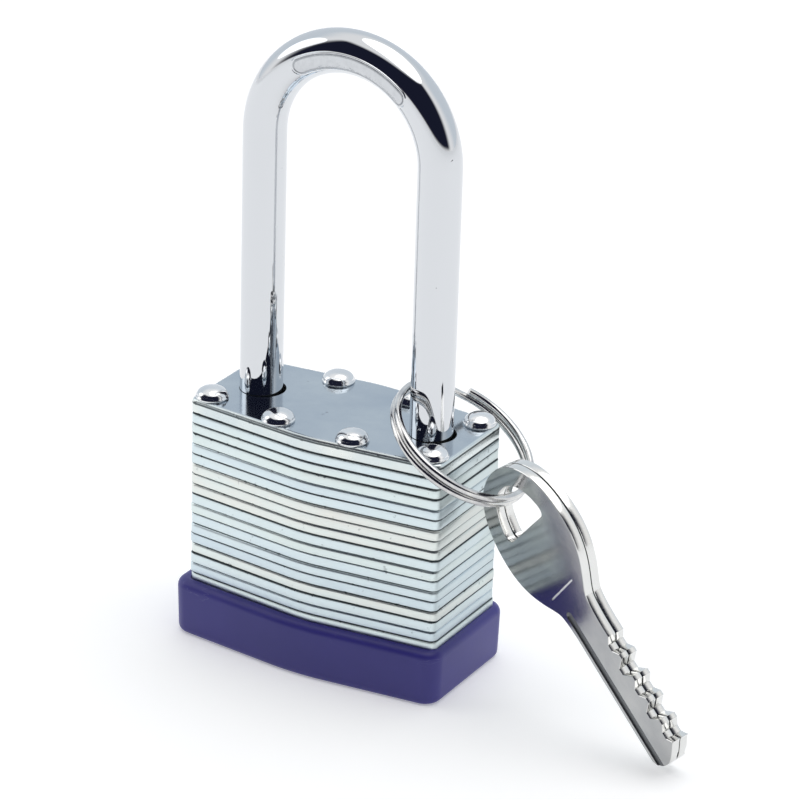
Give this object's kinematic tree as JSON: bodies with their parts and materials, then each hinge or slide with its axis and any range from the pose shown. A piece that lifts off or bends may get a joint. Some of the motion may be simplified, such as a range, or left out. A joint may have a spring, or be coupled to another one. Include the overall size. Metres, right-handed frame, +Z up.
{
  "type": "laminated padlock with keys",
  "caption": "Laminated steel padlock with a tall round shackle, domed rivets, a plastic foot bumper and nickel keys on a split ring.",
  "frame": {"origin": "middle of the box's base, on the surface that the padlock and the key tips stand on", "axes": "+Z up the shackle; +X to the right along the lock's front, towards the keys; +Y to the back, the thinnest way"},
  "size_m": [0.0802, 0.0242, 0.0911],
  "materials": {
    "top_steel": "smooth blue-grey plated steel",
    "zinc_steel": "pale zinc-plated cut edges",
    "rivet_steel": "polished domes",
    "chrome_steel": "bright chrome",
    "spring_steel": "drawn wire",
    "plated_steel": "dull plated",
    "brass": "machined",
    "nickel": "bright nickel",
    "bumper_plastic": "satin violet-blue"
  },
  "bodies": {
    "lock_body": {"top_plate": "top_steel", "lamination_01": "zinc_steel", "lamination_02": "zinc_steel", "lamination_03": "zinc_steel", "lamination_04": "zinc_steel", "lamination_05": "zinc_steel", "lamination_06": "zinc_steel", "lamination_07": "zinc_steel", "lamination_08": "zinc_steel", "lamination_09": "zinc_steel", "lamination_10": "zinc_steel", "lamination_11": "zinc_steel", "lamination_12": "zinc_steel", "lamination_13": "zinc_steel", "lamination_14": "zinc_steel", "lamination_15": "zinc_steel", "lamination_16": "zinc_steel", "lamination_17": "zinc_steel", "lamination_18": "zinc_steel", "lamination_19": "zinc_steel", "lamination_20": "zinc_steel", "bottom_plate": "zinc_steel", "rivet_1": "rivet_steel", "rivet_2": "rivet_steel", "rivet_3": "rivet_steel", "rivet_4": "rivet_steel", "rivet_5": "rivet_steel", "rivet_6": "rivet_steel", "rivet_7": "rivet_steel", "rivet_8": "rivet_steel", "bumper": "bumper_plastic", "heel_pin": "plated_steel", "shackle_spring": "spring_steel", "cylinder_housing": "brass", "pin_cover": "brass", "bolt_spring": "spring_steel", "pin_spring_1": "spring_steel", "pin_spring_2": "spring_steel", "pin_spring_3": "spring_steel", "pin_spring_4": "spring_steel"},
    "shackle": {"shackle": "chrome_steel"},
    "plug": {"plug": "brass", "cam": "brass"},
    "locking_bolt": {"locking_bolt": "plated_steel"},
    "key_ring": {"key_ring": "nickel"},
    "key_1": {"key_1": "nickel"},
    "key_2": {"key_2": "nickel"},
    "key_pin_1": {"key_pin_1": "brass"},
    "driver_pin_1": {"driver_pin_1": "brass"},
    "key_pin_2": {"key_pin_2": "brass"},
    "driver_pin_2": {"driver_pin_2": "brass"},
    "key_pin_3": {"key_pin_3": "brass"},
    "driver_pin_3": {"driver_pin_3": "brass"},
    "key_pin_4": {"key_pin_4": "brass"},
    "driver_pin_4": {"driver_pin_4": "brass"}
  },
  "joints": [
    {"name": "shackle_lift", "type": "slide", "parent": "lock_body", "child": "shackle", "axis": [0, 0, 1], "range_m": [0, 0.0112], "deforming": ["shackle_spring"]},
    {"name": "plug_turn", "type": "hinge", "parent": "lock_body", "child": "plug", "pos_m": [-0.01853, 0, 0.01165], "axis": [0, 0, 1], "range_deg": [-90, 0]},
    {"name": "bolt_slide", "type": "slide", "parent": "lock_body", "child": "locking_bolt", "axis": [-1, 0, 0], "range_m": [0, 0.0018], "deforming": ["bolt_spring"]},
    {"name": "ring_tilt", "type": "hinge", "parent": "lock_body", "child": "key_ring", "pos_m": [-0.00882, 0, 0.04165], "axis": [0, -1, 0], "range_deg": [0, 55]},
    {"name": "key_1_swing", "type": "hinge", "parent": "key_ring", "child": "key_1", "pos_m": [0.00868, -0.00229, 0.03057], "axis": [-0.3723, -0.9081, -0.192], "range_deg": [0, 35]},
    {"name": "key_2_swing", "type": "hinge", "parent": "key_ring", "child": "key_2", "pos_m": [0.00886, -0.00077, 0.0304], "axis": [-0.3723, -0.9081, -0.192], "range_deg": [0, 35]},
    {"name": "key_pin_1_slide", "type": "slide", "parent": "plug", "child": "key_pin_1", "axis": [1, 0, 0], "range_m": [0, 0.0009]},
    {"name": "driver_pin_1_slide", "type": "slide", "parent": "lock_body", "child": "driver_pin_1", "axis": [-1, 0, 0], "range_m": [0, 0.0015], "stiffness_N_per_m": 5, "springref_m": -0.002, "deforming": ["pin_spring_1"]},
    {"name": "key_pin_2_slide", "type": "slide", "parent": "plug", "child": "key_pin_2", "axis": [1, 0, 0], "range_m": [0, 0.0009]},
    {"name": "driver_pin_2_slide", "type": "slide", "parent": "lock_body", "child": "driver_pin_2", "axis": [-1, 0, 0], "range_m": [0, 0.0015], "stiffness_N_per_m": 5, "springref_m": -0.002, "deforming": ["pin_spring_2"]},
    {"name": "key_pin_3_slide", "type": "slide", "parent": "plug", "child": "key_pin_3", "axis": [1, 0, 0], "range_m": [0, 0.0009]},
    {"name": "driver_pin_3_slide", "type": "slide", "parent": "lock_body", "child": "driver_pin_3", "axis": [-1, 0, 0], "range_m": [0, 0.0015], "stiffness_N_per_m": 5, "springref_m": -0.002, "deforming": ["pin_spring_3"]},
    {"name": "key_pin_4_slide", "type": "slide", "parent": "plug", "child": "key_pin_4", "axis": [1, 0, 0], "range_m": [0, 0.0009]},
    {"name": "driver_pin_4_slide", "type": "slide", "parent": "lock_body", "child": "driver_pin_4", "axis": [-1, 0, 0], "range_m": [0, 0.0015], "stiffness_N_per_m": 5, "springref_m": -0.002, "deforming": ["pin_spring_4"]}
  ],
  "couplings": [
    {"joint": "plug_turn", "follows": "bolt_slide", "rad_per_m": -872.6}
  ]
}
